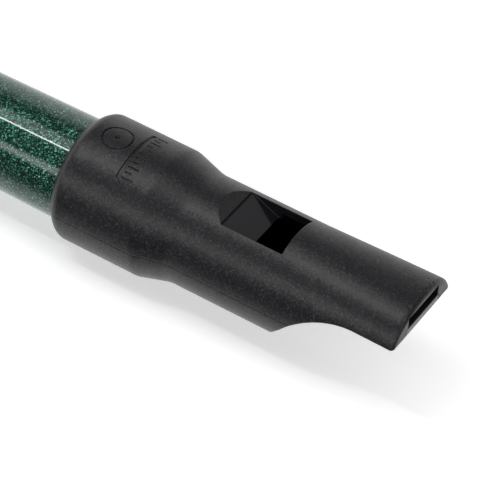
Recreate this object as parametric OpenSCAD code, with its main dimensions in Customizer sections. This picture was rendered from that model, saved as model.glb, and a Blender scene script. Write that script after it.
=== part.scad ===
// Tin whistle in D: a conical tube of rolled tinplate, a moulded head that
// pushes over its wide end, and a windway block glued into the head's beak.
// The axis lies on X, from the foot (-X) to the mouth (+X). The window and the
// finger holes face +Z. The origin is on the axis, in the middle of the collar.

/* [Tube] */
// Length of the tube, from the foot to the end inside the head
tube_len = 252.2; // [240:1:270]
// Outer diameter of the tube at the foot
foot_d = 10.4; // [9:0.1:12]
// Outer diameter of the tube at the end inside the head
tube_top_d = 16.5; // [15.8:0.1:16.5]
// Thickness of the tinplate
sheet_t = 0.35; // [0.25:0.05:0.5]
// Width of the folded lock seam inside the tube
seam_w = 2.4; // [1.5:0.1:4]
// How far the folded seam stands into the bore
seam_h = 0.6; // [0.3:0.1:1]
// Finger hole centres, measured from the foot, lowest hole first
hole_at = [41.5, 60, 80, 104, 122, 143];
// Finger hole diameters, in the same order
hole_d = [6, 6.8, 6.2, 5.8, 6.8, 6];

/* [Collar] */
// Outer diameter of the collar
collar_d = 20; // [19.5:0.1:22]
// Length of the collar's cylinder
collar_len = 12.6; // [8:0.1:20]
// Half-axis of the rim's elliptical rounding, along the tube
rim_long = 2.65; // [1.5:0.05:4]
// Half-axis of the rim's elliptical rounding, across the tube
rim_deep = 4.15; // [2.5:0.05:5]
// Wall that is left at the rim's mouth
rim_wall = 0.1; // [0.05:0.01:0.5]
// Clearance round the tube's end in the socket, on the radius
socket_gap = 0.04; // [0.01:0.01:0.1]
// Gap between the tube's end and the socket's shoulder
end_gap = 0.2; // [0.1:0.1:1]

/* [Head] */
// Outer diameter of the body and beak
body_d = 17.2; // [16:0.1:18]
// Length of the cone between the collar and the body
cone_len = 4.9; // [3:0.1:8]
// Distance from the origin to the mouth end
head_reach = 48.3; // [46:0.05:52]
// Diameter of the bore through the body
bore_d = 14.8; // [13:0.1:15]

/* [Window] */
// Width of the window and of its ramp
window_w = 8.05; // [6:0.05:9]
// Where the thumbnail-shaped plane starts on the crown of the body
crown_x = 15.5; // [14:0.05:17]
// Where that plane meets the ramp
fold_x = 17.55; // [17:0.05:19]
// Fall of the thumbnail-shaped plane for each millimetre of its length
crown_fall = 0.49; // [0.4:0.01:0.6]
// Height of the small step between the plane and the ramp
step_h = 0.12; // [0:0.01:0.3]
// Where the ramp ends in the blade
blade_x = 22.7; // [21:0.05:24]
// Height of the blade above the axis
blade_z = 5.4; // [5:0.05:6]
// Thickness of the blade's edge
blade_t = 0.2; // [0.1:0.05:0.5]
// Slope of the blade's underside, in degrees
under_slope = 10; // [6:1:14]
// Where the windway opens into the window
exit_x = 27.65; // [26:0.05:28.5]

/* [Windway] */
// Width of the windway
way_w = 8.05; // [6:0.05:9]
// Height of the windway's floor above the axis, at the window
floor_in = 4.95; // [4.7:0.05:5.3]
// Height of the windway's floor above the axis, at the mouth
floor_out = 5.15; // [4.9:0.05:5.5]
// Height of the windway at the window
way_in = 1; // [0.8:0.05:1.4]
// Height of the windway at the mouth
way_out = 1.75; // [1:0.05:1.8]
// Width of the glued block
block_w = 8.9; // [8.5:0.1:10]
// Height of the block's lowest face, from the axis
block_low = -0.5; // [-2:0.1:0]

/* [Beak] */
// Where the beak starts to flare and flatten
flare_x = 29.2; // [28.8:0.1:36]
// Half width of the beak's outline at the mouth, on the axis
mouth_a = 8.58; // [8:0.02:9]
// Height of the beak's crown above the axis, at the mouth
mouth_b = 8.4; // [8:0.05:8.6]
// Squareness of the outline at the mouth: 2 is an ellipse
mouth_n = 2.4; // [2:0.1:3]
// Rounding of the beak's outline at the mouth end
mouth_round = 0.9; // [0.3:0.1:1.2]
// Height of the beak's flat underside above the axis
beak_z = 3.8; // [3:0.05:4.2]
// Where the flat underside starts
flat_x = 42; // [40:0.1:45]
// Radius of the hollow curve under the beak
scoop_r = 13.5; // [10:0.1:16]
// Slope at which the hollow curve leaves the body, in degrees
scoop_slope = 53; // [40:1:65]
// Wall between the bore and the scoop
end_wall = 1.4; // [1:0.1:3]

/* [Hidden] */
$fn = 96;
eps = 0.01;
wide = 3 * collar_d;
slice_t = 0.05;
section_steps = 72;
mouth_steps = 4;
// How far the tube's end stands past the collar's cylinder, inside the cone
seat_past_collar = 1.9;
// How far the cutting outlines run past the solid that they cut
spare = 1;

collar_r = collar_d / 2;
body_r = body_d / 2;
// The beak's first section stands just outside the round body, so that they join cleanly
round_r = body_r / cos(180 / section_steps) + eps;
bore_r = bore_d / 2;
foot_r = foot_d / 2;
top_r = tube_top_d / 2;
socket_r = top_r + socket_gap;

collar_x0 = -collar_len / 2;
collar_x1 = collar_len / 2;
rim_mouth = collar_r - socket_r - rim_wall;
rim_angle = acos(1 - rim_mouth / rim_deep);
rim_x = collar_x0 - rim_long * sin(rim_angle);
cone_x1 = collar_x1 + cone_len;
tube_top_x = collar_x1 + seat_past_collar;
shoulder_x = tube_top_x + end_gap;
foot_x = tube_top_x - tube_len;

fold_z = body_r - crown_fall * (fold_x - crown_x);
labium_root_x = blade_x - (bore_r - blade_z + blade_t) / tan(under_slope);
scoop_z = beak_z - scoop_r;
ramp_top = [flat_x - scoop_r * sin(scoop_slope), scoop_z + scoop_r * cos(scoop_slope)];

rim_steps = 10;
rim_curve = [
    for (i = [0:rim_steps])
        let (a = rim_angle * (1 - i / rim_steps))
        [collar_r - rim_deep * (1 - cos(a)), collar_x0 - rim_long * sin(a)]
];

// Lays a shape that was built along +Z onto +X
module along_x() {
    rotate([0, 90, 0]) children();
}

// Extrudes an outline of the X-Z plane to a given width, centred on Y
module across_y(width) {
    rotate([90, 0, 0]) linear_extrude(height = width, center = true) children();
}

// A cone of the tube's taper, smaller than its outside by inset
module tube_cone(inset, reach = 0) {
    slope = (top_r - foot_r) / tube_len;
    translate([foot_x - reach, 0, 0])
        along_x()
            cylinder(h = tube_len + 2 * reach, r1 = foot_r - inset - slope * reach,
                r2 = top_r - inset + slope * reach);
}

// The lock seam's folded layers, along the back of the bore
module lock_seam() {
    intersection() {
        difference() {
            tube_cone(sheet_t / 2);
            tube_cone(sheet_t + seam_h, eps);
        }
        translate([foot_x - eps, -seam_w / 2, -collar_d])
            cube([tube_len + 2 * eps, seam_w, collar_d]);
    }
}

module tube() {
    color([0.05, 0.26, 0.2])
    difference() {
        union() {
            difference() {
                tube_cone(0);
                tube_cone(sheet_t, eps);
            }
            lock_seam();
        }
        for (i = [0:len(hole_at) - 1])
            translate([foot_x + hole_at[i], 0, 0])
                cylinder(h = collar_d, d = hole_d[i]);
    }
}

// Collar, cone and body, as one turned outline round the axis
module turned_outside() {
    along_x()
        rotate_extrude()
            polygon(concat(
                [[0, rim_x]],
                rim_curve,
                [[collar_r, collar_x1], [body_r, cone_x1], [body_r, flare_x], [0, flare_x]]
            ));
}

// One thin section of the beak, a superellipse with half axes a on Y and b on Z
module beak_section(x, a, b, n) {
    function bend(v) = sign(v) * pow(abs(v), 2 / n);
    translate([x, 0, 0])
        along_x()
            linear_extrude(height = slice_t)
                polygon([
                    for (i = [0:section_steps - 1])
                        let (t = 360 * i / section_steps)
                        [b * bend(cos(t)), a * bend(sin(t))]
                ]);
}

// The beak before it is hollowed, from the round body to the flatter mouth
module beak_outside() {
    hull() {
        beak_section(flare_x - slice_t, round_r, round_r, 2);
        for (a = [0:90 / mouth_steps:90])
            beak_section(
                head_reach - slice_t - mouth_round * (1 - sin(a)),
                mouth_a - mouth_round * (1 - cos(a)),
                mouth_b - mouth_round * (1 - cos(a)),
                mouth_n
            );
    }
}

// The hollow under the beak: a straight slope, an arc and a flat
module scoop_outline() {
    low = -body_r - spare;
    ramp_foot = [ramp_top.x - (ramp_top.y - low) / tan(scoop_slope), low];
    polygon([ramp_top, ramp_foot, [flat_x, low], [flat_x, scoop_z]]);
    translate([flat_x, scoop_z]) circle(r = scoop_r);
    translate([flat_x, low]) square([head_reach - flat_x + spare, beak_z - low]);
}

// The part of the bore's end that slopes back, parallel to the scoop
module bore_end_outline() {
    low = -body_r - spare;
    back = end_wall / sin(scoop_slope);
    at_face = ramp_top.y - (ramp_top.x - back - exit_x) * tan(scoop_slope);
    low_x = exit_x - (at_face - low) / tan(scoop_slope);
    polygon([
        [exit_x, at_face], [low_x, low],
        [exit_x + spare, low], [exit_x + spare, at_face]
    ]);
}

// The wedge that hangs into the bore and ends in the blade
module labium_outline() {
    polygon([
        [labium_root_x, bore_r], [blade_x, blade_z - blade_t],
        [blade_x, body_r + spare], [labium_root_x, body_r + spare]
    ]);
}

// Bore of the head, from the shoulder to the block
module head_bore() {
    difference() {
        translate([shoulder_x - eps, 0, 0])
            along_x() cylinder(h = exit_x - shoulder_x + eps, r = bore_r);
        across_y(wide) labium_outline();
        across_y(wide) bore_end_outline();
    }
}

// Socket for the tube's end
module socket() {
    translate([rim_x - eps, 0, 0])
        along_x() cylinder(h = shoulder_x - rim_x + eps, r = socket_r);
}

// Thumbnail plane, step, ramp and open window
module window_cut() {
    across_y(window_w)
        polygon([
            [crown_x - spare, body_r + spare * crown_fall],
            [fold_x, fold_z], [fold_x, fold_z - step_h],
            [blade_x, blade_z], [blade_x, 0], [exit_x, 0],
            [exit_x, body_r + spare], [crown_x - spare, body_r + spare]
        ]);
}

// The windway's own space, above its floor
module windway_cut() {
    across_y(way_w)
        polygon([
            [exit_x - eps, floor_in - spare], [head_reach + eps, floor_out - spare],
            [head_reach + eps, floor_out + way_out], [exit_x - eps, floor_in + way_in]
        ]);
}

// The block's prism, up to the windway's floor
module block_prism(reach = 0) {
    across_y(block_w)
        polygon([
            [exit_x - reach, block_low], [head_reach + reach, block_low],
            [head_reach + reach, floor_out], [exit_x - reach, floor_in]
        ]);
}

module mouthpiece() {
    color([0.16, 0.16, 0.17])
    difference() {
        union() {
            turned_outside();
            beak_outside();
        }
        socket();
        head_bore();
        window_cut();
        windway_cut();
        block_prism(eps);
        across_y(wide) scoop_outline();
    }
}

module windway_block() {
    color([0.13, 0.13, 0.14])
    difference() {
        block_prism();
        across_y(wide) scoop_outline();
    }
}

tube();
mouthpiece();
windway_block();
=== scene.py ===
import math

import bpy
import numpy as np
from mathutils import Matrix, Vector


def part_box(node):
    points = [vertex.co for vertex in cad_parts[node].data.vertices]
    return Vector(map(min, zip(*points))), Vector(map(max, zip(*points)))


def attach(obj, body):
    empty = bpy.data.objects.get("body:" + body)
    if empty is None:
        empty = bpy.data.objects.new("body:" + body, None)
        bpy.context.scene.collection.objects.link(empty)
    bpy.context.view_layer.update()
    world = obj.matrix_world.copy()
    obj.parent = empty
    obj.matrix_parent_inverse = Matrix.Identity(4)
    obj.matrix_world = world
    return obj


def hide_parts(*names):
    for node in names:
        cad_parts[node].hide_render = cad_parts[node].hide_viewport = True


# A tin whistle: a painted conical tube of tinplate, a moulded head pushed over its
# wide end, and the windway block in the head's beak. Lengths in the shape functions
# are millimetres in the CAD frame; meshes and lights are in metres.

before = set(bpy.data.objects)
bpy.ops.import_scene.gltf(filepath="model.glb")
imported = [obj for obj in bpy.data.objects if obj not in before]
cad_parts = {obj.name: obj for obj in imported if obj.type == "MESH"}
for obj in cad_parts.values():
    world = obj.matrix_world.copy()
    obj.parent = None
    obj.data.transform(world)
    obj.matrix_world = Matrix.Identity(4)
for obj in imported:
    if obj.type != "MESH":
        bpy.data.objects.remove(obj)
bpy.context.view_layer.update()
MM = 0.001


def corners_mm(node):
    """The CAD node's lowest and highest corner in millimetres."""
    return [[round(v / MM, 2) for v in corner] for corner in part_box(node)]


HEAD_LO, HEAD_HI = corners_mm("mouthpiece")
TUBE_LO, TUBE_HI = corners_mm("tube")
BLOCK_LO, BLOCK_HI = corners_mm("windway_block")

# Collar, cone and body
RIM_X, MOUTH_X, COLLAR_R = HEAD_LO[0], HEAD_HI[0], HEAD_HI[1]
COLLAR_HALF, CONE_LEN = 6.3, 4.9
RIM_LONG, RIM_DEEP = 2.65, 4.15
RIM_CORE, RIM_SLOPE = 0.05, 0.01  # least values, against division by zero on the axis
BODY_R, BORE_R = 8.6, 7.4
SOCKET_R, SHOULDER_X = TUBE_HI[1] + 0.04, TUBE_HI[0] + 0.2
CONE_ROUND, CONE_FILLET, RIM_ROUND = 0.12, 0.25, 0.04

# Window and windway
WINDOW_HALF = 4.025
CROWN_X, CROWN_FALL, FOLD_X, STEP_H = 15.5, 0.49, 17.55, 0.12
BLADE_X, BLADE_Z, BLADE_T, UNDER_SLOPE = 22.7, 5.4, 0.28, math.radians(10)
EXIT_X, FLOOR_IN, FLOOR_OUT = BLOCK_LO[0], 4.95, BLOCK_HI[2]
WAY_IN, WAY_OUT, WAY_FLARE, FLARE_LEN = 1.0, 1.75, 0.3, 2.5
WAY_SUNK, WAY_PAST = 1.0, 0.5  # the windway's cut, past its floor and its exit
CUT_ROUND, WAY_ROUND, POCKET_ROUND = 0.06, 0.3, 0.04
GROOVE_X, GROOVE_HALF, GROOVE_DEPTH, GROOVE_LOW = 17.6, 0.07, 0.25, 6.5

# Beak: half width, half height and squareness at the mouth, and its edges
FLARE_X, MOUTH_A, MOUTH_B, MOUTH_N, ROUND_N = 29.2, 8.58, 8.4, 2.4, 2
LEAST_SHARE = 1e-3
MOUTH_ROUND, MOUTH_ROUND_LOW = 0.9, 0.6
WORN_Z, WORN_Y = (4.5, 7.5), (-2, 2)
BEAK_Z, FLAT_X, SCOOP_R, SCOOP_SLOPE, END_WALL = 3.8, 42.0, 13.5, math.radians(53), 1.4
SCOOP_ROUND, SCOOP_SHARPER, SCOOP_EDGE_Z = 0.35, 0.25, (-2, -6)

# Block
BLOCK_GAP, BLOCK_ROUND, BLOCK_LIP, BLOCK_UNDER_ROUND = 0.09, 0.1, 0.06, 0.3

# Tube
SHEET_T, SEAM_HALF, SEAM_H, SEAM_EDGE = 0.35, 1.2, 0.6, 0.15
SEAM_GROOVE, SEAM_GROOVE_HALF = 0.06, 0.07
FOOT_R, TOP_R = 5.2, TUBE_HI[1]
# Each finger hole: distance from the foot, and width
HOLES = [(41.5, 6.0), (60, 6.8), (80, 6.2), (104, 5.8), (122, 6.8), (143, 6.0)]


# ---------------------------------------------------------------- shape by distance


def both(a, b, r=0.0):
    """Inside both shapes, with the edge between them rounded to radius r."""
    if np.ndim(r) == 0 and r == 0:
        return np.maximum(a, b)
    return np.minimum(-r, np.maximum(a, b)) + np.hypot(
        np.maximum(r + a, 0), np.maximum(r + b, 0)
    )


def both_softly(a, b, k):
    """As both(), for faces that meet at a flat angle: eased over a depth of k / 4."""
    h = np.maximum(k - np.abs(a - b), 0) / k
    return np.maximum(a, b) + h * h * k / 4


def ramp_between(v, start, end):
    """0 at start, 1 at end, smooth in between."""
    t = np.clip((v - start) / (end - start), 0, 1)
    return t * t * (3 - 2 * t)


def turned_part(x, rho):
    """Collar with its rounded rim, and the cone down to the body."""
    u = np.minimum(x + COLLAR_HALF, 0) / RIM_LONG
    v = np.maximum(rho - (COLLAR_R - RIM_DEEP), 0) / RIM_DEEP
    q = np.maximum(np.hypot(u, v), RIM_CORE)
    fall = np.maximum(np.hypot(u / RIM_LONG, v / RIM_DEEP), RIM_SLOPE)
    collar = (q - 1) * q / fall
    slope = math.atan2(COLLAR_R - BODY_R, CONE_LEN)
    cone = (rho - COLLAR_R) * math.cos(slope) + (x - COLLAR_HALF) * math.sin(slope)
    return both_softly(collar, cone, CONE_ROUND)


def beak_part(x, y, z):
    """Body and beak: round, then flatter and squarer towards the mouth."""
    t = np.clip((x - FLARE_X) / (MOUTH_X - FLARE_X), 0, 1)
    if np.max(t) == 0:
        return np.hypot(y, z) - BODY_R + 0 * x
    a, b = BODY_R + (MOUTH_A - BODY_R) * t, BODY_R + (MOUTH_B - BODY_R) * t
    n = ROUND_N + (MOUTH_N - ROUND_N) * t
    u = np.maximum(np.abs(y) / a, LEAST_SHARE)
    v = np.maximum(np.abs(z) / b, LEAST_SHARE)
    un, vn = u**n, v**n
    g = (un + vn) ** (1 / n)
    fall = g / (un + vn) * np.hypot(un / (u * a), vn / (v * b))
    return (g - 1) / fall


def under_scoop(x, z):
    """The hollow under the beak: flat, arc and straight slope. Positive in the air."""
    dx, dz = x - FLAT_X, z - (BEAK_Z - SCOOP_R)
    s, c = math.sin(SCOOP_SLOPE), math.cos(SCOOP_SLOPE)
    line = s * (dx + SCOOP_R * s) - c * (dz - SCOOP_R * c)
    arc = SCOOP_R - np.hypot(dx, dz)
    curved = np.where(-dx * c - dz * s > 0, line, arc)
    return np.where(dx > 0, BEAK_Z - z, curved)


def outside(x, y, z):
    """The head before anything is cut into it."""
    body = np.maximum(beak_part(x, y, z), -x)
    solid = -both_softly(-turned_part(x, np.hypot(y, z)), -body, CONE_FILLET)
    solid = both(solid, RIM_X - x, RIM_ROUND)
    worn = np.maximum(ramp_between(z, *WORN_Z), ramp_between(y, *WORN_Y))
    at_mouth = MOUTH_ROUND_LOW + (MOUTH_ROUND - MOUTH_ROUND_LOW) * worn
    solid = both(solid, x - MOUTH_X, at_mouth)
    edge = SCOOP_ROUND - SCOOP_SHARPER * ramp_between(z, *SCOOP_EDGE_Z)
    return both(solid, under_scoop(x, z), edge)


def way_floor(x):
    """Height of the windway's floor, the top of the block."""
    return FLOOR_IN + (x - EXIT_X) * (FLOOR_OUT - FLOOR_IN) / (MOUTH_X - EXIT_X)


def way_roof(x):
    """Height of the windway's roof: a taper, and a short flare at the mouth."""
    taper = (x - EXIT_X) * (WAY_OUT - WAY_IN) / (MOUTH_X - EXIT_X)
    flare = WAY_FLARE * ramp_between(x, MOUTH_X - FLARE_LEN, MOUTH_X)
    return way_floor(x) + WAY_IN + taper + flare


def bore_air(x, y, z):
    """Socket for the tube, and the bore with the labium's wedge hanging into it."""
    rho = np.hypot(y, z)
    under = BLADE_Z - BLADE_T + (BLADE_X - x) * math.tan(UNDER_SLOPE)
    labium = np.maximum((under - z) * math.cos(UNDER_SLOPE), x - BLADE_X)
    bore = np.maximum(rho - BORE_R, x - EXIT_X)
    bore = np.maximum(bore, under_scoop(x, z) + END_WALL)
    bore = np.maximum(bore, -labium)
    return np.minimum(bore, np.maximum(rho - SOCKET_R, x - SHOULDER_X))


def window_air(x, y, z):
    """Thumbnail plane, small step, ramp and open window."""
    plane = (BODY_R - CROWN_FALL * (x - CROWN_X) - z) / math.hypot(1, CROWN_FALL)
    fold_z = BODY_R - CROWN_FALL * (FOLD_X - CROWN_X) - STEP_H
    fall = (fold_z - BLADE_Z) / (BLADE_X - FOLD_X)
    ramp = (fold_z - fall * (x - FOLD_X) - z) / math.hypot(1, fall)
    cut = np.minimum(plane, np.maximum(ramp, FOLD_X - x))
    cut = np.minimum(cut, np.maximum(BLADE_X - x, -z))
    return both(np.abs(y) - WINDOW_HALF, np.maximum(cut, x - EXIT_X), POCKET_ROUND)


def windway_air(x, y, z):
    """The windway, and the channel that the block is glued into."""
    way = both(np.abs(y) - WINDOW_HALF, z - way_roof(x), WAY_ROUND)
    ends = np.maximum(way_floor(x) - WAY_SUNK - z, EXIT_X - WAY_PAST - x)
    way = np.maximum(way, ends)
    channel = np.maximum(np.abs(y) - BLOCK_HI[1], z - way_floor(x))
    channel = np.maximum(channel, np.maximum(BLOCK_LO[2] - z, EXIT_X - x))
    return np.minimum(way, channel)


def head_shape(x, y, z):
    """The plain moulding of the head."""
    solid = both(outside(x, y, z), -bore_air(x, y, z), RIM_ROUND)
    solid = both(solid, -windway_air(x, y, z), CUT_ROUND)
    return both(solid, -window_air(x, y, z), CUT_ROUND)


def block_shape(x, y, z):
    """The block, a little narrower than its channel by the glue's gap."""
    solid = both(np.abs(y) - BLOCK_HI[1] + BLOCK_GAP, z - way_floor(x), BLOCK_ROUND)
    solid = both(solid, BLOCK_LO[2] - z, BLOCK_ROUND)
    solid = both(solid, x - MOUTH_X, BLOCK_LIP)
    solid = both(solid, under_scoop(x, z), BLOCK_UNDER_ROUND)
    return both(solid, EXIT_X - x, BLOCK_ROUND)


# ------------------------------------------------------------ marks on the moulding

PARTING_Z, PARTING_STEP, PARTING_BLEND = -0.2, 0.035, 0.1
PARTING_DEPTH, PARTING_HALF = 0.08, 0.07
MARK_DEPTH, MARK_HALF, MARK_FLAT = 0.2, 0.17, 0.4
SKIN = (-0.6, -0.3)  # relief fades out between these depths below the outside
RING_X, RING_R, DOT_R = -2.75, 2.25, 0.3
BAR_X, BAR_HALF, BAR_START, BAR_END = 0.93, 0.18, -5.5, 4.0
TICK_STARTS_X, TICK_LONG, TICK_SHORT, TICK_STEP, LAST_TICK = 1.6, 1.5, 0.8, 0.95, 10
# Knocks: distance from the mouth end, place across, size and depth
NICKS = [
    (0.7, -2.9, 0.2, 0.07),
    (0.5, -1.6, 0.15, 0.06),
    (1.1, 0.6, 0.18, 0.07),
    (0.6, 1.2, 0.15, 0.07),
    (0.9, 2.4, 0.15, 0.06),
    (0.5, 3.1, 0.2, 0.08),
    (1.5, 3.4, 0.17, 0.06),
    (0.3, 4.6, 0.17, 0.07),
]
NICK_REACH = 2.5
CROWN_DROP, CROWN_DROP_AT = 0.45, 4  # the mouth's top edge falls this much, this far out


def stroke(px, py, ax, ay, bx, by):
    """Distance from a point to a straight stroke on the collar's unrolled surface."""
    dx, dy = bx - ax, by - ay
    t = np.clip(((px - ax) * dx + (py - ay) * dy) / (dx * dx + dy * dy), 0, 1)
    return np.hypot(px - ax - t * dx, py - ay - t * dy)


def mark_lines(x, y, z):
    """Distance to the nearest engraved line: a plain ring with a dot, and a ruled bar."""
    around = COLLAR_R * np.arctan2(y, z)
    from_ring = np.hypot(x - RING_X, around)
    near = np.minimum(np.abs(from_ring - RING_R), from_ring - DOT_R)
    bar = stroke(x, around, BAR_X, BAR_START, BAR_X, BAR_END) - BAR_HALF
    near = np.minimum(near, bar)
    tick = np.clip(np.round((around - BAR_START) / TICK_STEP), 0, LAST_TICK)
    at = BAR_START + tick * TICK_STEP
    reach = np.where(tick % 2 == 0, TICK_LONG, TICK_SHORT)
    along = np.clip(x, TICK_STARTS_X, TICK_STARTS_X + reach)
    return np.minimum(near, np.hypot(x - along, around - at))


def nick_depth(x, y, z):
    """Small knocks along the top edge of the mouth, where teeth and lips meet it."""
    depth = 0.0 * (x + y + z)
    if np.max(x) < MOUTH_X - NICK_REACH:
        return depth
    for dx, at, size, deep in NICKS:
        top = MOUTH_B - CROWN_DROP * (at / CROWN_DROP_AT) ** 2
        away = (x - MOUTH_X + dx) ** 2 + (y - at) ** 2 + (z - top) ** 2
        depth = depth + deep * np.exp(-away / size**2)
    return depth


def fold_groove(x, y, z):
    """The fine groove between the thumbnail plane and the ramp."""
    dip = GROOVE_DEPTH * np.exp(-(((x - GROOVE_X) / GROOVE_HALF) ** 2))
    here = (np.abs(y) < WINDOW_HALF) & (z > GROOVE_LOW)
    return np.where(here, dip, 0)


def marked_head(x, y, z):
    """The head with its engraved marks and the mould's parting line."""
    side = ramp_between(mark_lines(x, y, z), MARK_HALF * MARK_FLAT, MARK_HALF)
    depth = np.where((z > 0) & (x < COLLAR_HALF), MARK_DEPTH * (1 - side), 0)
    groove = PARTING_DEPTH * np.exp(-(((z - PARTING_Z) / PARTING_HALF) ** 2))
    above = ramp_between(z, PARTING_Z - PARTING_BLEND, PARTING_Z + PARTING_BLEND)
    step = PARTING_STEP * (1 - above)
    skin = ramp_between(outside(x, y, z), *SKIN)
    relief = (depth + groove + step) * skin + nick_depth(x, y, z)
    return head_shape(x, y, z) + relief + fold_groove(x, y, z)


SKIN_DEPTH, WINDOW_SPARE = 0.25, 0.1
FOLD_NEAR, FOLD_LOW, BLADE_NEAR, BLADE_LOW = 0.3, 7, 0.35, 4.8
MARK_NEAR, PARTING_NEAR, LIP_LONG, LIP_DEEP = 0.35, 0.3, 2, 1


def fine_zone(p):
    """Where the head's mesh is finer: fold, blade, marks, lip and parting line."""
    x, y, z = p.T
    on_skin = outside(x, y, z) > -SKIN_DEPTH
    across = np.abs(y) < WINDOW_HALF + WINDOW_SPARE
    fold = (np.abs(x - GROOVE_X) < FOLD_NEAR) & across & (z > FOLD_LOW)
    blade = (np.abs(x - BLADE_X) < BLADE_NEAR) & across & (z > BLADE_LOW)
    marks = (mark_lines(x, y, z) < MARK_NEAR) & (z > 0) & (x < COLLAR_HALF)
    lip = (x > MOUTH_X - LIP_LONG) & (z > MOUTH_B - LIP_DEEP)
    parting = np.abs(z - PARTING_Z) < PARTING_NEAR
    return fold | blade | (on_skin & (marks | lip | parting))


# -------------------------------------------------------------------- mesh building

SLAB = 8  # grid planes sampled at a time
SLOPE_STEP, NORMAL_STEP, LEAST_SLOPE, TINY = 0.01, 0.03, 0.2, 1e-9
SHARP_BEND, ZONE_EDGE = math.radians(22), 0.09  # edges past these are split


def sample(distance, lo, hi, step):
    """The distance field on a regular grid, slab by slab."""
    axes = [np.arange(a, b + step, step, dtype=np.float32) for a, b in zip(lo, hi)]
    field = np.empty([len(a) for a in axes], np.float32)
    y, z = axes[1][None, :, None], axes[2][None, None, :]
    for start in range(0, len(axes[0]), SLAB):
        x = axes[0][start : start + SLAB, None, None]
        field[start : start + SLAB] = distance(x, y, z)
    return field


def surface_nets(distance, lo, hi, step):
    """Vertices and triangles of the zero surface, one vertex in each cell it crosses."""
    field = sample(distance, lo, hi, step)
    size = np.array(field.shape)
    stride = np.array([size[1] * size[2], size[2], 1])
    flat = field.ravel()
    cells, points, quads = [], [], []
    for axis in range(3):
        u, v = (axis + 1) % 3, (axis + 2) % 3
        ahead = np.delete(np.arange(size[axis]), -1)
        first = np.take(field, ahead, axis) < 0
        second = np.take(field, ahead + 1, axis) < 0
        at = np.argwhere(first != second)
        at = at[(at[:, u] > 0) & (at[:, v] > 0)]
        here = at @ stride
        f0, f1 = flat[here], flat[here + stride[axis]]
        point = at.astype(float)
        point[:, axis] += f0 / (f0 - f1)
        quad = np.stack(
            [here - stride[u] - stride[v], here - stride[v], here, here - stride[u]], 1
        )
        quad[f0 >= 0] = quad[f0 >= 0][:, ::-1]
        quads.append(quad)
        cells.append(quad.ravel())
        points.append(np.repeat(point, 4, 0))
    quads, points = np.concatenate(quads), np.concatenate(points)
    names, slots = np.unique(np.concatenate(cells), return_inverse=True)
    count = np.bincount(slots)
    verts = np.stack([np.bincount(slots, points[:, k]) / count for k in range(3)], 1)
    quads = np.searchsorted(names, quads)
    tris = np.concatenate([quads[:, [0, 1, 2]], quads[:, [0, 2, 3]]])
    return np.array(lo) + verts * step, tris


def slope_of(distance, p, step=SLOPE_STEP):
    """Gradient of the distance field at the points."""
    out = np.empty_like(p)
    for k in range(3):
        shift = np.zeros(3)
        shift[k] = step
        out[:, k] = distance(*(p + shift).T) - distance(*(p - shift).T)
    return out / (2 * step)


def normals_of(distance, p, step=SLOPE_STEP):
    """Unit normals of the distance field at the points."""
    g = slope_of(distance, p, step)
    return g / np.maximum(np.linalg.norm(g, axis=1), TINY)[:, None]


def settle(distance, p, rounds=3, reach=0.15):
    """Moves points onto the zero surface."""
    for _ in range(rounds):
        g = slope_of(distance, p)
        move = distance(*p.T) / np.maximum((g * g).sum(1), LEAST_SLOPE)
        p = p - np.clip(move, -reach, reach)[:, None] * g
    return p


# A triangle's new triangles, by which of its edges are split (1, 2 and 4 added up).
# Corners are 0 to 2, and the edges' middles 3 to 5.
SPLITS = {
    0: [[0, 1, 2]],
    1: [[0, 3, 2], [3, 1, 2]],
    2: [[0, 1, 4], [0, 4, 2]],
    4: [[0, 1, 5], [1, 2, 5]],
    3: [[3, 1, 4], [0, 3, 4], [0, 4, 2]],
    6: [[4, 2, 5], [0, 1, 4], [0, 4, 5]],
    5: [[0, 3, 5], [3, 1, 2], [3, 2, 5]],
    7: [[0, 3, 5], [3, 1, 4], [5, 4, 2], [3, 4, 5]],
}


def refine(verts, tris, wanted):
    """Splits the edges that wanted(start, end) picks, keeping the surface closed."""
    pairs = np.sort(tris[:, [[0, 1], [1, 2], [2, 0]]].reshape(-1, 2), 1)
    keys, where = np.unique(pairs[:, 0] * len(verts) + pairs[:, 1], return_inverse=True)
    a, b = keys // len(verts), keys % len(verts)
    split = wanted(a, b)
    middle = (verts[a[split]] + verts[b[split]]) / 2
    number = np.full(len(keys), -1)
    number[split] = len(verts) + np.arange(split.sum())
    corner = np.concatenate([tris, number[where].reshape(-1, 3)], 1)
    code = (split[where].reshape(-1, 3) * [1, 2, 4]).sum(1)
    parts = [
        corner[code == c][:, pattern]
        for c, patterns in SPLITS.items()
        for pattern in patterns
    ]
    return np.concatenate([verts, middle]), np.concatenate(parts), len(verts)


def distance_mesh(name, distance, lo, hi, step, most, zone=None):
    """A closed mesh of the shape, finer at its edges and in the zone, with true normals."""
    verts, tris = surface_nets(distance, lo, hi, step)
    verts = settle(distance, verts)
    for finest in (step / 2, step / 3):
        normals = normals_of(distance, verts)

        def wanted(a, b):
            long = np.linalg.norm(verts[a] - verts[b], axis=1)
            bent = (normals[a] * normals[b]).sum(1) < math.cos(SHARP_BEND)
            pick = bent & (long > finest)
            if zone is not None:
                pick |= zone((verts[a] + verts[b]) / 2) & (long > ZONE_EDGE)
            return pick

        verts, tris, kept = refine(verts, tris, wanted)
        verts[kept:] = settle(distance, verts[kept:])
    mesh = bpy.data.meshes.new(name)
    mesh.from_pydata(verts * MM, [], tris)
    piece = bpy.data.objects.new(name, mesh)
    bpy.context.scene.collection.objects.link(piece)
    if len(tris) > most:
        thin_out(piece, most / len(tris))
    finish_normals(piece.data, distance)
    return piece


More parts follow.
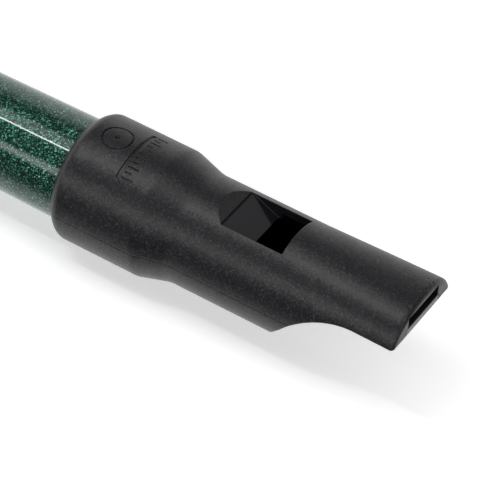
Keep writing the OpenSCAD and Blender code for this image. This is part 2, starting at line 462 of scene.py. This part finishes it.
def thin_out(piece, ratio):
    """Takes triangles away where the surface is flattest."""
    modifier = piece.modifiers.new("thin_out", "DECIMATE")
    modifier.ratio = ratio
    bpy.context.view_layer.update()
    graph = bpy.context.evaluated_depsgraph_get()
    thinned = bpy.data.meshes.new_from_object(piece.evaluated_get(graph))
    piece.modifiers.clear()
    piece.data = thinned


def points_of(mesh):
    """The mesh's vertices in millimetres."""
    flat = np.empty(len(mesh.vertices) * 3, np.float32)
    mesh.vertices.foreach_get("co", flat)
    return flat.reshape(-1, 3).astype(float) / MM


def finish_normals(mesh, distance):
    """Smooth shading with the normals of the shape itself."""
    p = settle(distance, points_of(mesh), rounds=2)
    mesh.vertices.foreach_set("co", (p * MM).astype(np.float32).ravel())
    normals = normals_of(distance, p, NORMAL_STEP)
    mesh.polygons.foreach_set("use_smooth", np.ones(len(mesh.polygons), bool))
    mesh.update()
    mesh.normals_split_custom_set_from_vertices(normals.tolist())


def face_centres(mesh):
    """The middle of each face in millimetres."""
    centres = np.empty(len(mesh.polygons) * 3, np.float32)
    mesh.polygons.foreach_get("center", centres)
    return centres.reshape(-1, 3).astype(float) / MM


def paint_faces(piece, materials, index):
    """Gives each face one of the materials."""
    for material in materials:
        piece.data.materials.append(material)
    piece.data.polygons.foreach_set("material_index", np.asarray(index, np.int32))
    piece.data.update()


# ----------------------------------------------------------------------------- tube

SEAM_SIDE = [0.05, 0.1, 0.2, 0.5, 0.9, 1.1, 1.25, 1.4, 1.6]
SEAM_OFFSETS = [-v for v in reversed(SEAM_SIDE)] + [0] + SEAM_SIDE
PATCH_HALF_DEG, PATCH_STEPS, PATCH_SPARE = 40, 20, 1.4
SIDE_END_DEG, SIDE_STEPS, ROW_GAP = 160, 30, 4
SPREAD_SHARES = (0.3, 0.55, 0.75, 0.9)
# A cut edge's rings: share of the wall's depth, and distance back from the cut
EDGE_RINGS = [
    (0.0, 0.09),
    (0.08, 0.03),
    (0.28, 0.0),
    (0.72, 0.0),
    (0.92, 0.03),
    (1.0, 0.09),
]
EDGE_BACK = EDGE_RINGS[0][1]
PAINT_DEPTH = 0.12  # faces deeper than this below the outside are bare tin


def tube_radius(x):
    """The sheet's outer radius at x."""
    return TOP_R - (TOP_R - FOOT_R) * (TUBE_HI[0] - x) / (TUBE_HI[0] - TUBE_LO[0])


def back_arc(x, phi):
    """Distance along the surface from the seam at the back."""
    return tube_radius(x) * (math.pi - np.abs(phi))


def tube_point(x, phi, depth):
    """A point under the painted surface: depth 0 is the outside, 1 the inside."""
    arc = back_arc(x, phi)
    groove = SEAM_GROOVE * np.exp(-((arc / SEAM_GROOVE_HALF) ** 2))
    beside = ramp_between(arc, SEAM_HALF - SEAM_EDGE, SEAM_HALF + SEAM_EDGE)
    wall = SHEET_T + SEAM_H * (1 - beside)
    r = tube_radius(x) - groove * (1 - depth) - wall * depth
    return np.stack([x + 0 * r, r * np.sin(phi), r * np.cos(phi)], -1)


def tube_rows():
    """Row positions along the tube, and the rows at which each hole's patch starts."""
    rows, starts = [TUBE_LO[0] + EDGE_BACK], []

    def go_to(end, steps):
        rows.extend(np.linspace(rows[-1], end, steps + 1)[1:])

    for from_foot, wide in HOLES:
        centre, half = TUBE_LO[0] + from_foot, wide / 2 + PATCH_SPARE
        gap = centre - half - rows[-1]
        go_to(centre - half, max(2, round(gap / ROW_GAP)))
        starts.append(len(rows) - 1)
        go_to(centre + half, PATCH_STEPS)
    end = TUBE_HI[0] - EDGE_BACK
    go_to(end, round((end - rows[-1]) / ROW_GAP))
    return np.array(rows), starts


def tube_angles(x):
    """Column angles at x: even steps, and close ones at the seam."""
    half = PATCH_HALF_DEG
    front = np.radians(np.linspace(-half, half, PATCH_STEPS + 1))
    side = np.radians(np.linspace(half, SIDE_END_DEG, SIDE_STEPS + 1)[1:])
    seam = math.pi + np.array(SEAM_OFFSETS) / tube_radius(x)
    return np.concatenate([front, side, seam, 2 * math.pi - side[::-1]])


def hole_rings(edge_x, edge_phi, centre, radius):
    """Rings from the patch's edge to the hole, down its wall and out again inside."""
    half = np.ptp(edge_x) / 2
    turn = np.arctan2(edge_phi / math.radians(PATCH_HALF_DEG), (edge_x - centre) / half)

    def circle(r):
        x = centre + r * np.cos(turn)
        return x, np.arcsin(r * np.sin(turn) / tube_radius(x))

    outer_x, outer_phi = circle(radius + EDGE_BACK)
    spread = [
        ((1 - w) * edge_x + w * outer_x, (1 - w) * edge_phi + w * outer_phi)
        for w in SPREAD_SHARES
    ]
    rings = [tube_point(x, phi, 0) for x, phi in spread]
    rings += [tube_point(*circle(radius + out), depth) for depth, out in EDGE_RINGS]
    return rings + [tube_point(x, phi, 1) for x, phi in reversed(spread)]


def wrap(a):
    """Angles brought between -pi and pi."""
    return (a + math.pi) % (2 * math.pi) - math.pi


def patch_edge(row):
    """Row and column of each point round the hole's patch that starts at the row."""
    k, span = PATCH_STEPS, np.arange(PATCH_STEPS)
    flat = 0 * span
    rows = [row + span, row + k + flat, row + k - span, row + flat]
    columns = [flat, span, k + flat, k - span]
    return np.concatenate(rows), np.concatenate(columns)


def skin_faces(index, starts):
    """The outside's faces, without the patches round the holes."""
    ahead = np.roll(index, -1, 1)
    keep = np.ones((len(index) - 1, index.shape[1]), bool)
    for start in starts:
        keep[start : start + PATCH_STEPS, :PATCH_STEPS] = False
    return np.stack([index[:-1], index[1:], ahead[1:], ahead[:-1]], -1)[keep]


def bands(rings):
    """The faces between each ring of points and the next."""
    return [
        np.stack([a, np.roll(a, -1), np.roll(b, -1), b], 1)
        for a, b in zip(rings[:-1], rings[1:])
    ]


def tube_mesh():
    """The rolled sheet: outside, inside, cut ends, finger holes and the folded seam."""
    rows, starts = tube_rows()
    phi = wrap(np.stack([tube_angles(x) for x in rows]))
    x = np.repeat(rows[:, None], phi.shape[1], 1)
    verts = [tube_point(x, phi, depth).reshape(-1, 3) for depth in (0, 1)]
    skin = phi.size
    index = np.arange(skin).reshape(phi.shape)
    out = skin_faces(index, starts)
    faces = [out, out[:, ::-1] + skin]

    def add(points):
        first = sum(len(v) for v in verts)
        verts.append(points)
        return first + np.arange(len(points))

    for (from_foot, wide), start in zip(HOLES, starts):
        row, column = patch_edge(start)
        loop, centre = index[row, column], TUBE_LO[0] + from_foot
        rings = hole_rings(rows[row], phi[row, column], centre, wide / 2)
        faces += bands([loop] + [add(ring) for ring in rings] + [loop + skin])
    for row, outward in ((0, -1), (len(rows) - 1, 1)):
        end_x = rows[row] + outward * EDGE_BACK
        loops = [
            add(tube_point(end_x - outward * back + 0 * phi[row], phi[row], depth))
            for depth, back in EDGE_RINGS[1:-1]
        ]
        chain = [index[row]] + loops + [index[row] + skin]
        faces += bands([c[::-1] for c in chain] if outward > 0 else chain)
    verts, faces = np.concatenate(verts), np.concatenate(faces)
    used, faces = np.unique(faces, return_inverse=True)
    return verts[used], faces.reshape(-1, 4)


def build_tube(paint, tin):
    """The sheet: painted outside, bare inside and on its cut edges."""
    verts, faces = tube_mesh()
    mesh = bpy.data.meshes.new("tube_sheet")
    mesh.from_pydata(verts * MM, [], faces)
    mesh.polygons.foreach_set("use_smooth", np.ones(len(faces), bool))
    mesh.update()
    piece = bpy.data.objects.new("tube_sheet", mesh)
    bpy.context.scene.collection.objects.link(piece)
    centre = face_centres(mesh)
    sunk = tube_radius(centre[:, 0]) - np.hypot(centre[:, 1], centre[:, 2])
    paint_faces(piece, [paint, tin], sunk > PAINT_DEPTH)
    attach(piece, "tube_body")
    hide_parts("tube")


# ------------------------------------------------------------------- head and block

STEP, QUICK_STEP, HEAD_MOST, BLOCK_MOST = 0.2, 0.4, 170000, 40000
HEAD_MARGIN, BLOCK_MARGIN = 0.9, 0.6
CUT_DEPTH, INNER_NEAR = 0.3, 0.1


def build_head(grained, smooth, inner):
    """The head: grained outside, smooth in the window, dull and darkened as painted shade in
    the bore, the windway and the fold groove.
    """
    step = STEP
    wide = COLLAR_R + HEAD_MARGIN
    lo, hi = [RIM_X - HEAD_MARGIN, -wide, -wide], [MOUTH_X + HEAD_MARGIN, wide, wide]
    piece = distance_mesh("head", marked_head, lo, hi, step, HEAD_MOST, fine_zone)
    x, y, z = face_centres(piece.data).T
    cut = outside(x, y, z) < -CUT_DEPTH
    air = np.minimum(bore_air(x, y, z), windway_air(x, y, z))
    # Faces deep in the bore and windway, and in the fold groove, get the painted shade
    # material: the groove is made dark in colour as well as by its cut.
    painted_shade_faces = (cut & (air < INNER_NEAR)) | (fold_groove(x, y, z) > GROOVE_DEPTH / 2)
    paint_faces(piece, [grained, smooth, inner], np.where(painted_shade_faces, 2, cut * 1))
    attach(piece, "head")
    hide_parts("mouthpiece")


def build_block(face, inner):
    """The block: its end face at the mouth, and its top in the windway darkened as painted
    shade.
    """
    lo = [v - BLOCK_MARGIN for v in BLOCK_LO]
    hi = [v + BLOCK_MARGIN for v in BLOCK_HI]
    name = "windway_block_moulding"
    piece = distance_mesh(name, block_shape, lo, hi, STEP, BLOCK_MOST)
    x, _, z = face_centres(piece.data).T
    # The block's top in the windway gets the painted shade material.
    in_way = (z > way_floor(x) - BLOCK_ROUND) & (x < MOUTH_X - 2 * BLOCK_LIP)
    paint_faces(piece, [face, inner], in_way * 1)
    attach(piece, "head")
    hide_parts("windway_block")


# ------------------------------------------------------------------------ materials


def colour_ramp(tree, factor, stops, smooth="LINEAR"):
    """A colour ramp of (place, colour) stops along the factor."""
    node = tree.nodes.new("ShaderNodeValToRGB")
    node.color_ramp.interpolation = smooth
    points = node.color_ramp.elements
    while len(points) < len(stops):
        points.new(0.5)
    for point, (place, colour) in zip(points, stops):
        point.position = place
        point.color = (*colour, 1)
    tree.links.new(factor, node.inputs["Fac"])
    return node.outputs["Color"]


class Nodes:
    """Short names for building a node material."""

    def __init__(self, name):
        self.material = bpy.data.materials.new(name)
        self.material.use_nodes = True
        self.tree = self.material.node_tree
        self.shader = self.tree.nodes["Principled BSDF"]
        self.place = self.add("ShaderNodeTexCoord").outputs["Object"]

    def add(self, kind, **values):
        node = self.tree.nodes.new(kind)
        for key, value in values.items():
            setattr(node, key, value)
        return node

    def link(self, start, end):
        self.tree.links.new(start, end)

    def set(self, **values):
        """Values on the shader's own sockets."""
        for key, value in values.items():
            socket = key.replace("_", " ").title().replace("Ior", "IOR")
            self.shader.inputs[socket].default_value = value

    def noise(self, size_mm, detail=2.0, roughness=0.5, vector=None):
        """Noise whose features are about size_mm across."""
        node = self.add("ShaderNodeTexNoise")
        node.inputs["Scale"].default_value = 1 / (size_mm * MM)
        node.inputs["Detail"].default_value = detail
        node.inputs["Roughness"].default_value = roughness
        self.link(vector or self.place, node.inputs["Vector"])
        return node.outputs["Fac"]

    def cells(self, size_mm):
        """Cells about size_mm across, each with a random colour."""
        node = self.add("ShaderNodeTexVoronoi")
        node.inputs["Scale"].default_value = 1 / (size_mm * MM)
        self.link(self.place, node.inputs["Vector"])
        return node.outputs["Color"]

    def tilted(self, cells, amount):
        """The surface normal, leaning a different way in each cell."""
        centred = self.add("ShaderNodeVectorMath", operation="MULTIPLY_ADD")
        self.link(cells, centred.inputs[0])
        centred.inputs[1].default_value = (amount,) * 3
        centred.inputs[2].default_value = (-amount / 2,) * 3
        lean = self.add("ShaderNodeVectorMath", operation="ADD")
        self.link(self.add("ShaderNodeNewGeometry").outputs["Normal"], lean.inputs[0])
        self.link(centred.outputs["Vector"], lean.inputs[1])
        unit = self.add("ShaderNodeVectorMath", operation="NORMALIZE")
        self.link(lean.outputs["Vector"], unit.inputs[0])
        return unit.outputs["Vector"]

    def ramp(self, factor, *stops):
        """A colour ramp of (place, colour) stops."""
        return colour_ramp(self.tree, factor, stops)

    def spread(self, factor, low, high, start=0.3, end=0.7):
        """The factor between start and end, as a number between low and high."""
        node = self.add("ShaderNodeMapRange")
        ranges = {"From Min": start, "From Max": end, "To Min": low, "To Max": high}
        for key, value in ranges.items():
            node.inputs[key].default_value = value
        self.link(factor, node.inputs["Value"])
        return node.outputs["Result"]

    def bump(self, height, depth_mm):
        """Relief of depth_mm."""
        node = self.add("ShaderNodeBump")
        node.inputs["Distance"].default_value = depth_mm * MM
        self.link(height, node.inputs["Height"])
        return node.outputs["Normal"]

    def red(self, colour):
        """The red share of a colour, as a random number for each cell."""
        node = self.add("ShaderNodeSeparateColor")
        self.link(colour, node.inputs["Color"])
        return node.outputs["Red"]

    def stretched(self, along):
        """The object's coordinates with X scaled, for streaks along the whistle."""
        node = self.add("ShaderNodeMapping")
        node.inputs["Scale"].default_value = (along, 1, 1)
        self.link(self.place, node.inputs["Vector"])
        return node.outputs["Vector"]

    def finish(self, colour, roughness, normal, **values):
        """Links the shader's main sockets, sets the others, and gives the material."""
        self.link(colour, self.shader.inputs["Base Color"])
        self.link(roughness, self.shader.inputs["Roughness"])
        self.link(normal, self.shader.inputs["Normal"])
        self.set(**values)
        return self.material


def grained_plastic():
    """Black plastic from a spark-eroded mould: a fine pebbled grain with a dull shine, its
    sparkle partly painted into the colour.
    """
    n = Nodes("grained_plastic")
    pebbles = n.cells(size_mm=0.21)
    # The brightest cells are painted sparkle: glints of the grain put into the base colour,
    # on top of its own random tone.
    colour = n.ramp(
        n.red(pebbles),
        (0.0, (0.003, 0.0027, 0.0045)),
        (0.7, (0.006, 0.0054, 0.0078)),
        (1.0, (0.028, 0.0265, 0.031)),
    )
    patches = n.noise(size_mm=3, detail=3, roughness=0.6)
    gloss = n.spread(patches, low=0.38, high=0.42)
    return n.finish(colour, gloss, n.tilted(pebbles, amount=0.1))


def smooth_plastic():
    """The same plastic where the mould was polished: the planes and walls of the window."""
    n = Nodes("smooth_plastic")
    wear = n.noise(size_mm=0.5, detail=3, roughness=0.6)
    colour = n.ramp(wear, (0.3, (0.008, 0.0075, 0.010)), (0.75, (0.011, 0.0105, 0.013)))
    gloss = n.spread(n.noise(size_mm=2.5), low=0.12, high=0.18)
    return n.finish(colour, gloss, n.bump(wear, depth_mm=0.002))


def painted_shade_plastic():
    """The moulding deep inside the bore and the windway, in the fold groove and on the
    block's top: dull, and darkened as painted shade.
    """
    n = Nodes("painted_shade_plastic")
    mottle = n.noise(size_mm=0.8, detail=3, roughness=0.6)
    # The low colour and the weak reflection are painted shade; the mottle only varies its
    # tone.
    colour = n.ramp(mottle, (0.3, (0.003, 0.003, 0.0033)), (0.75, (0.006, 0.006, 0.0066)))
    gloss = n.spread(mottle, low=0.6, high=0.75)
    relief = n.bump(mottle, depth_mm=0.02)
    return n.finish(colour, gloss, relief, specular_ior_level=0.25)


def block_plastic():
    """The block's slightly greyer plastic, with fine scuffs along the windway."""
    n = Nodes("block_plastic_finish")
    along = n.stretched(0.15)
    scuff = n.noise(size_mm=0.25, detail=3, roughness=0.6, vector=along)
    colour = n.ramp(scuff, (0.3, (0.045, 0.045, 0.049)), (0.8, (0.090, 0.090, 0.096)))
    gloss = n.spread(scuff, low=0.22, high=0.34)
    return n.finish(colour, gloss, n.bump(scuff, depth_mm=0.012))


def flake_paint():
    """Dark green metallic paint: a bed of tilted flakes under a clear coat."""
    n = Nodes("flake_paint")
    flakes = n.cells(size_mm=0.17)
    colour = n.ramp(
        n.red(flakes),
        (0.0, (0.002, 0.011, 0.0085)),
        (0.55, (0.005, 0.036, 0.026)),
        (0.85, (0.045, 0.190, 0.128)),
        (1.0, (0.220, 0.480, 0.370)),
    )
    return n.finish(
        colour,
        n.spread(n.noise(size_mm=3), low=0.34, high=0.42),
        n.tilted(flakes, amount=0.44),
        metallic=0.75,
        specular_tint=(0.2, 0.4, 0.36, 1),
        coat_weight=1.0,
        coat_roughness=0.03,
        coat_ior=1.5,
    )


def bare_tin():
    """Tinplate inside the tube and on its cut edges, with faint drawing lines."""
    n = Nodes("bare_tin")
    along = n.stretched(0.04)
    lines = n.noise(size_mm=0.3, detail=3, roughness=0.6, vector=along)
    patches = n.noise(size_mm=4, detail=3)
    colour = n.ramp(patches, (0.3, (0.48, 0.47, 0.44)), (0.7, (0.64, 0.63, 0.60)))
    gloss = n.spread(lines, low=0.24, high=0.42)
    return n.finish(colour, gloss, n.bump(lines, depth_mm=0.01), metallic=1.0)


# ---------------------------------------------------------- camera, floor and light

# The camera's lean towards the mouth, height above the front and turn about its view
LEAN, HEIGHT, ROLL = (math.radians(v) for v in (20.594, 48.659, 26.334))
AIM_X, FAR, LENS, SENSOR, SHIFT = 19.678, 426.736, 216.12, 36, (0.0075, 0.0052)
CLIP_NEAR, CLIP_FAR = 0.01, 10
FLOOR_HALF, FLOOR_GLOW = 3.0, 0.47
X_AXIS = Vector((1, 0, 0))


def turned_to(right, up, back):
    """The rotation whose own axes point along these three."""
    return Matrix((right, up, back)).transposed().to_4x4()


def camera():
    """Looks down on the head from the front, a little from the mouth's side."""
    front, above = -math.cos(HEIGHT), math.sin(HEIGHT)
    across = math.cos(LEAN)
    back = Vector((math.sin(LEAN), across * front, across * above))
    level = (X_AXIS - back.x * back).normalized()
    upright = back.cross(level)
    right = math.cos(ROLL) * level + math.sin(ROLL) * upright
    up = math.cos(ROLL) * upright - math.sin(ROLL) * level
    data = bpy.data.cameras.new("camera")
    data.sensor_width, data.lens = SENSOR, LENS
    data.shift_x, data.shift_y = SHIFT
    data.clip_start, data.clip_end = CLIP_NEAR, CLIP_FAR
    eye = bpy.data.objects.new("camera", data)
    place = Vector((AIM_X * MM, 0, 0)) + FAR * MM * back
    eye.matrix_world = Matrix.Translation(place) @ turned_to(right, up, back)
    bpy.context.scene.collection.objects.link(eye)
    bpy.context.scene.camera = eye


def floor():
    """A plain pale floor under the collar, glowing a little as paper in bright light."""
    signs = ((-1, -1), (1, -1), (1, 1), (-1, 1))
    low = -COLLAR_R * MM
    mesh = bpy.data.meshes.new("floor")
    corners = [(FLOOR_HALF * sx, FLOOR_HALF * sy, low) for sx, sy in signs]
    mesh.from_pydata(corners, [], [(0, 1, 2, 3)])
    n = Nodes("floor_paper")
    fibres = n.noise(size_mm=1.5, detail=2)
    colour = n.ramp(fibres, (0.3, (0.86, 0.86, 0.87)), (0.7, (0.88, 0.88, 0.89)))
    n.link(colour, n.shader.inputs["Base Color"])
    n.set(roughness=0.9, specular_ior_level=0.1)
    n.set(emission_color=(1, 1, 1, 1), emission_strength=FLOOR_GLOW)
    mesh.materials.append(n.material)
    piece = bpy.data.objects.new("floor", mesh)
    piece.visible_glossy = False
    bpy.context.scene.collection.objects.link(piece)


# Lamps: direction, size in metres and brightness
LAMP_FAR = 1.0
STRIP = ("strip", (-0.352, -0.244, 0.904), (0.4, 0.045), 17)
CARD = ("card", (0.3, 0.618, 0.725), (0.5, 0.5), 0.37)
# The bright paper's normal, and the room's grey levels from the paper (0) to opposite it (1)
PAPER_NORMAL = (0.352, -0.618, 0.703)
ROOM_LEVELS = [(0.0, 1.0), (0.34, 1.0), (0.5, 0.11), (0.68, 0.06), (0.86, 0.1), (1.0, 0.14)]
# Long soft boxes: lean from the vertical and half width in degrees, and brightness
SOFT_BOXES = [(4, 19, 1.7), (67, 11, 3.0)]


def area_light(name, toward, size, radiance):
    """A soft rectangle that faces the collar from a direction, its long side along X."""
    data = bpy.data.lights.new(name, "AREA")
    data.shape = "RECTANGLE"
    data.size, data.size_y = size
    data.energy = radiance * math.pi * size[0] * size[1]
    back = Vector(toward).normalized()
    right = (X_AXIS - back.x * back).normalized()
    lamp = bpy.data.objects.new(name, data)
    facing = turned_to(right, back.cross(right), back)
    lamp.matrix_world = Matrix.Translation(LAMP_FAR * back) @ facing
    lamp.visible_camera = False
    bpy.context.scene.collection.objects.link(lamp)


def greys(stops):
    """The (place, level) stops as (place, colour) stops."""
    return [(place, (level, level, level)) for place, level in stops]


def studio_world():
    """A dim room with white paper behind the object, and two long soft boxes along X."""
    world = bpy.data.worlds.new("studio")
    bpy.context.scene.world = world
    world.use_nodes = True
    tree = world.node_tree

    def node(kind, operation, *values):
        made = tree.nodes.new(kind)
        made.operation = operation
        for socket, value in zip(made.inputs, values):
            if isinstance(value, bpy.types.NodeSocket):
                tree.links.new(value, socket)
            else:
                socket.default_value = value
        return made

    toward = tree.nodes.new("ShaderNodeTexCoord").outputs["Generated"]
    facing = node("ShaderNodeVectorMath", "DOT_PRODUCT", toward, PAPER_NORMAL)
    share = node("ShaderNodeMath", "MULTIPLY_ADD", facing.outputs["Value"], 0.5, 0.5)
    room = colour_ramp(tree, share.outputs[0], greys(ROOM_LEVELS))
    parts = tree.nodes.new("ShaderNodeSeparateXYZ")
    tree.links.new(toward, parts.inputs[0])
    lean = node("ShaderNodeMath", "ARCTAN2", parts.outputs["Y"], parts.outputs["Z"])
    turn = node("ShaderNodeMath", "MULTIPLY_ADD", lean.outputs[0], -0.5 / math.pi, 0.5)
    boxes = colour_ramp(tree, turn.outputs[0], greys(box_levels()), "EASE")
    total = node("ShaderNodeVectorMath", "ADD", room, boxes)
    tree.links.new(total.outputs["Vector"], tree.nodes["Background"].inputs["Color"])


def box_levels():
    """Each soft box's levels by lean, as shares of a full turn."""
    stops = []
    for lean, half, level in SOFT_BOXES:
        for at, share in ((-half, 0), (-half / 4, 1), (half / 4, 1), (half, 0)):
            stops.append((0.5 + (lean + at) / 360, share * level))
    return stops


def light():
    """The studio round the object, and its two lamps."""
    studio_world()
    area_light(*STRIP)
    area_light(*CARD)
    bpy.context.scene.view_settings.view_transform = "Standard"


camera()
floor()
light()
build_tube(flake_paint(), bare_tin())
inner = painted_shade_plastic()
build_head(grained_plastic(), smooth_plastic(), inner)
build_block(block_plastic(), inner)
